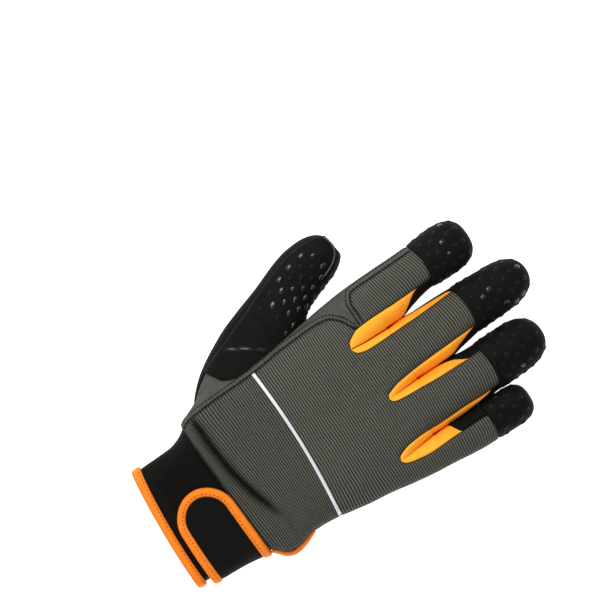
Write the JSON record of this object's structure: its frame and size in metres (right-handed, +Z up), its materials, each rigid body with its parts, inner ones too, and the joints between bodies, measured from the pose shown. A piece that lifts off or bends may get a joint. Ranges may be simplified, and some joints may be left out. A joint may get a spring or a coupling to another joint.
{
  "type": "assembly glove",
  "caption": "Work glove lying palm down: ribbed back, suede palm with dotted grip overlays, orange finger gussets, black stretch cuff with a closing strap.",
  "frame": {"origin": "on the resting surface, under the middle of the glove's outline", "axes": "+Y from the cuff to the fingertips, +Z up through the back of the hand, -X towards the thumb"},
  "size_m": [0.1558, 0.2524, 0.0412],
  "materials": {
    "ribbed": "ribbed woven cloth",
    "suede": "brushed synthetic suede",
    "black": "smooth stretch knit",
    "neoprene": "soft neoprene",
    "orange": "stretch knit",
    "binding": "folded stretch tape",
    "reflective": "reflective tape",
    "grip": "black cloth with glossy silicone dots",
    "loop": "fuzzy loop tape",
    "badge": "moulded matte badge",
    "disc": "moulded matte disc"
  },
  "bodies": {
    "root": {"back_panel": "ribbed", "index_back_panel": "ribbed", "wrist_panel": "ribbed", "reflective_piping": "reflective", "palm_panel": "suede", "gusset_index_middle": "orange", "gusset_middle_ring": "orange", "gusset_ring_little": "orange", "fourchette_index_middle": "black", "fourchette_middle_ring": "black", "fourchette_ring_little": "black", "index_fingertip": "grip", "middle_fingertip": "grip", "ring_fingertip": "grip", "little_fingertip": "grip", "thumb_back": "black", "thumb_palm": "suede", "thumb_patch": "grip", "thenar_patch": "grip", "palm_patch": "grip", "knuckle_patch": "grip", "index_patch": "grip", "cuff": "neoprene", "cuff_binding": "binding", "vent_binding": "binding", "loop_patch": "loop", "strap": "neoprene", "strap_binding": "binding", "pull_tab": "suede", "tab_badge": "badge", "tab_disc": "disc"}
  },
  "joints": []
}
